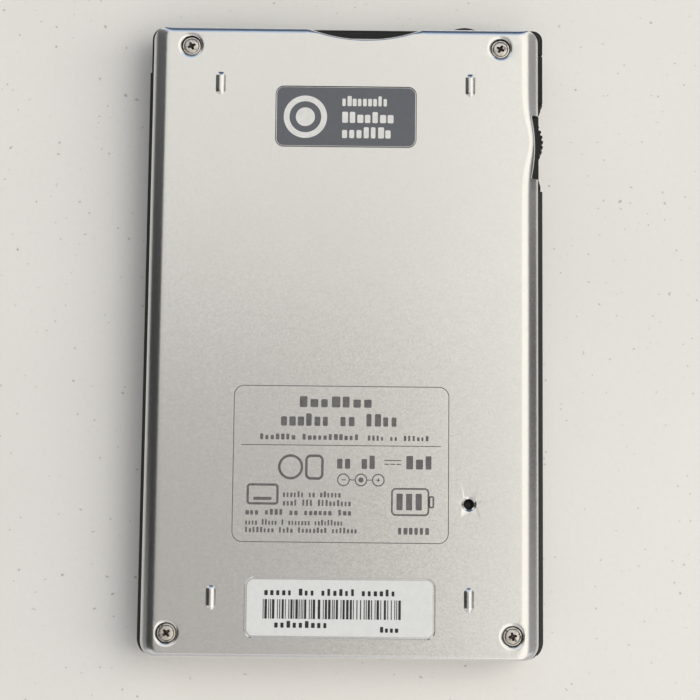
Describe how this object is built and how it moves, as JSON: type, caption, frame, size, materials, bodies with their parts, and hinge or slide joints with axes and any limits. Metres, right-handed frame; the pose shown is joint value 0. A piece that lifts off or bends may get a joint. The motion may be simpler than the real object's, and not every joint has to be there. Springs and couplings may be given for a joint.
{
  "type": "personal digital assistant",
  "caption": "Slim handheld organiser lying face down: silver shells around a black frame, with stylus, card slot, side jog wheel, front keys and screen.",
  "frame": {"origin": "centre of the bounding box in plan, on the plane of the front face that the device rests on", "axes": "+Z out of the rear cover, +Y towards the top edge with the card slot, +X towards the side with the jog wheel"},
  "size_m": [0.0789, 0.1259, 0.0121],
  "materials": {
    "silver_paint": "satin silver paint with a fine sparkle",
    "black_plastic": "fine-textured moulded black plastic",
    "black_rubber": "matt soft-touch black",
    "screw_steel": "nickel-plated steel",
    "badge_grey": "semi-gloss grey badge with a pale edge line",
    "label_film": "light grey polyester label film",
    "gasket_foam": "closed-cell foam",
    "touch_glass": "clear film over glass",
    "lcd_dark": "dark unlit panel",
    "diffuser_white": "white diffuser",
    "tin_steel": "stamped tin-plated steel",
    "flex_amber": "amber polyimide film",
    "sheet_film": "yellow insulating film",
    "board_green": "green solder mask",
    "chip_black": "moulded epoxy packages",
    "cell_blue": "blue shrink film",
    "lead_red": "red wire insulation",
    "key_silicone": "grey silicone sheet",
    "key_grey": "painted grey key caps",
    "centre_grey": "darker grey key cap",
    "switch_black": "moulded switch housing",
    "carrier_grey": "moulded grey carrier",
    "tip_white": "hard plastic writing tip",
    "silo_black": "moulded tube",
    "contact_gold": "gold-plated spring contacts",
    "window_red": "infrared-pass window, nearly black red",
    "mesh_black": "fine woven acoustic mesh",
    "light_pipe": "clear light guide",
    "switch_cream": "cream switch housing",
    "plunger_black": "black plunger"
  },
  "bodies": {
    "case": {"rear_cover": "silver_paint", "front_bezel": "silver_paint", "mid_frame": "black_plastic", "left_side_rail": "black_rubber", "right_side_rail": "black_rubber", "case_screws": "screw_steel", "badge_label": "badge_grey", "rating_label": "label_film", "display_gasket": "gasket_foam", "touch_panel": "touch_glass", "lcd_panel": "lcd_dark", "backlight": "diffuser_white", "display_frame": "tin_steel", "display_flex": "flex_amber", "insulating_sheet": "sheet_film", "main_board": "board_green", "board_chips": "chip_black", "shield_can": "tin_steel", "board_screws": "screw_steel", "battery_pack": "cell_blue", "battery_pad": "gasket_foam", "battery_lead": "lead_red", "backup_cell": "screw_steel", "keypad_board": "board_green", "key_membrane": "key_silicone", "power_switch": "switch_black", "record_switch": "switch_black", "jog_encoder": "switch_black", "stylus_silo": "silo_black", "card_slot_cage": "tin_steel", "card_contacts": "contact_gold", "headphone_jack": "black_plastic", "infrared_window": "window_red", "infrared_module": "switch_black", "dock_connector": "switch_black", "speaker": "switch_black", "speaker_mesh": "mesh_black", "microphone": "tin_steel", "led_light_pipe": "light_pipe", "reset_switch": "switch_cream"},
    "stylus": {"stylus_barrel": "black_plastic", "stylus_tip": "tip_white", "stylus_cap": "black_plastic"},
    "card": {"card_blank": "black_plastic"},
    "power_key": {"power_button": "black_plastic"},
    "record_key": {"record_button": "black_rubber"},
    "reset_key": {"reset_plunger": "plunger_black"},
    "jog_carriage": {"jog_carrier": "carrier_grey", "jog_axle": "screw_steel"},
    "jog_dial": {"jog_wheel": "black_plastic"},
    "app_key_1": {"app_button_1": "key_grey"},
    "app_key_2": {"app_button_2": "key_grey"},
    "app_key_3": {"app_button_3": "key_grey"},
    "app_key_4": {"app_button_4": "key_grey"},
    "nav_gimbal": {"nav_pivot": "tin_steel"},
    "nav_disc": {"nav_pad": "key_grey"},
    "nav_centre": {"nav_centre_button": "centre_grey"}
  },
  "joints": [
    {"name": "stylus_slide", "type": "slide", "parent": "case", "child": "stylus", "axis": [0, 1, 0], "range_m": [0, 0.104]},
    {"name": "card_slide", "type": "slide", "parent": "case", "child": "card", "axis": [0, 1, 0], "range_m": [0, 0.034]},
    {"name": "power_press", "type": "slide", "parent": "case", "child": "power_key", "axis": [0, -1, 0], "range_m": [0, 0.0005], "stiffness_N_per_m": 400, "springref_m": -0.0005},
    {"name": "record_press", "type": "slide", "parent": "case", "child": "record_key", "axis": [-1, 0, 0], "range_m": [0, 0.0005], "stiffness_N_per_m": 400, "springref_m": -0.0005},
    {"name": "reset_press", "type": "slide", "parent": "case", "child": "reset_key", "axis": [0, 0, -1], "range_m": [0, 0.0003], "stiffness_N_per_m": 400, "springref_m": -0.0005},
    {"name": "jog_press", "type": "slide", "parent": "case", "child": "jog_carriage", "axis": [-1, 0, 0], "range_m": [0, 0.0005], "stiffness_N_per_m": 600, "springref_m": -0.0005},
    {"name": "jog_turn", "type": "hinge", "parent": "jog_carriage", "child": "jog_dial", "pos_m": [0.0326, 0.03955, 0.0068], "axis": [0, 0, 1], "continuous": true},
    {"name": "app_press_1", "type": "slide", "parent": "case", "child": "app_key_1", "axis": [0, 0, 1], "range_m": [0, 0.0005], "stiffness_N_per_m": 400, "springref_m": -0.0005},
    {"name": "app_press_2", "type": "slide", "parent": "case", "child": "app_key_2", "axis": [0, 0, 1], "range_m": [0, 0.0005], "stiffness_N_per_m": 400, "springref_m": -0.0005},
    {"name": "app_press_3", "type": "slide", "parent": "case", "child": "app_key_3", "axis": [0, 0, 1], "range_m": [0, 0.0005], "stiffness_N_per_m": 400, "springref_m": -0.0005},
    {"name": "app_press_4", "type": "slide", "parent": "case", "child": "app_key_4", "axis": [0, 0, 1], "range_m": [0, 0.0005], "stiffness_N_per_m": 400, "springref_m": -0.0005},
    {"name": "nav_tilt_x", "type": "hinge", "parent": "case", "child": "nav_gimbal", "pos_m": [0, -0.0475, 0.00267], "axis": [1, 0, 0], "range_deg": [-3, 3], "stiffness_Nm_per_rad": 0.1},
    {"name": "nav_tilt_y", "type": "hinge", "parent": "nav_gimbal", "child": "nav_disc", "pos_m": [0, -0.0475, 0.00267], "axis": [0, 1, 0], "range_deg": [-3, 3], "stiffness_Nm_per_rad": 0.1},
    {"name": "nav_centre_press", "type": "slide", "parent": "nav_disc", "child": "nav_centre", "axis": [0, 0, 1], "range_m": [0, 0.0003], "stiffness_N_per_m": 400, "springref_m": -0.0005}
  ]
}
